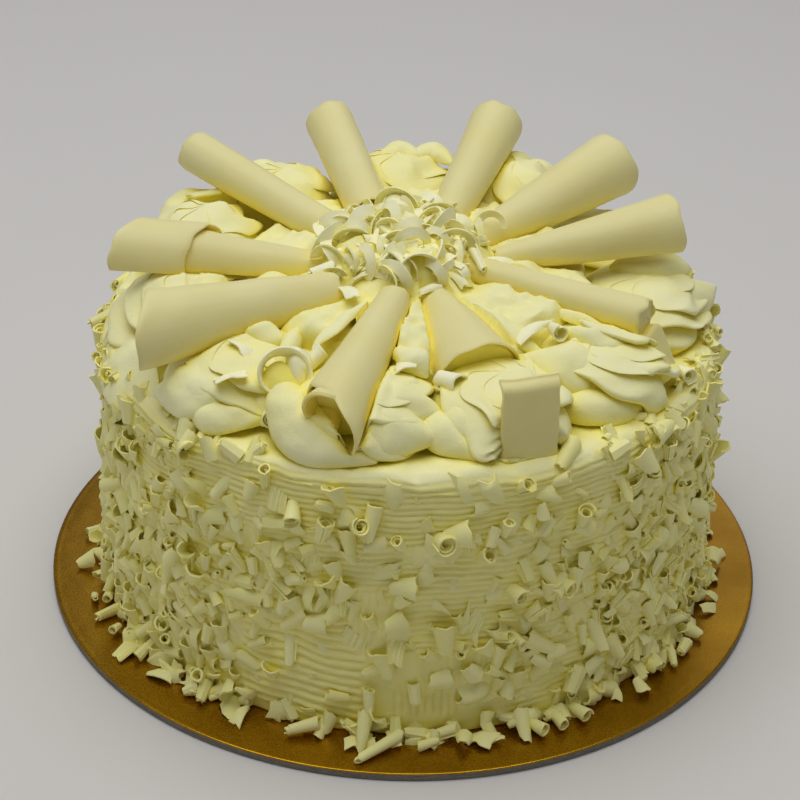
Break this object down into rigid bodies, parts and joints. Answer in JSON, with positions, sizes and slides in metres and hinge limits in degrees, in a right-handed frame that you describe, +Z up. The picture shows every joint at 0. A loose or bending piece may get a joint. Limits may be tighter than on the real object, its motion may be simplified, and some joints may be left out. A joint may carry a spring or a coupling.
{
  "type": "lemon chiffon cake",
  "caption": "Round cream-covered layer cake on a gold card, with piped rosettes, white chocolate rolls laid like spokes, a heap of curls on top and small curls pressed on its side.",
  "frame": {"origin": "middle of the underside of the card, at the level the cake rests on", "axes": "+Z up, -Y towards the side that faces the viewer"},
  "size_m": [0.254, 0.254, 0.1412],
  "materials": {
    "cream": "soft satin whipped cream, pale lemon",
    "white_chocolate": "satin white chocolate, ivory yellow",
    "gold_card": "gold foil on grey card, satin metallic"
  },
  "bodies": {
    "root": {"cake_board": "gold_card", "cake": "cream", "cream_bed": "cream", "curl_heap": "white_chocolate", "rosette_01": "cream", "rosette_02": "cream", "rosette_03": "cream", "rosette_04": "cream", "rosette_05": "cream", "rosette_06": "cream", "rosette_07": "cream", "rosette_08": "cream", "rosette_09": "cream", "rosette_10": "cream", "rosette_11": "cream", "roll_a": "white_chocolate", "roll_b": "white_chocolate", "roll_c": "white_chocolate", "roll_d": "white_chocolate", "roll_e": "white_chocolate", "roll_f": "white_chocolate", "roll_g": "white_chocolate", "roll_h": "white_chocolate", "roll_i": "white_chocolate", "roll_j": "white_chocolate", "roll_k": "white_chocolate", "roll_plate": "white_chocolate", "roll_flake": "white_chocolate"}
  },
  "joints": []
}
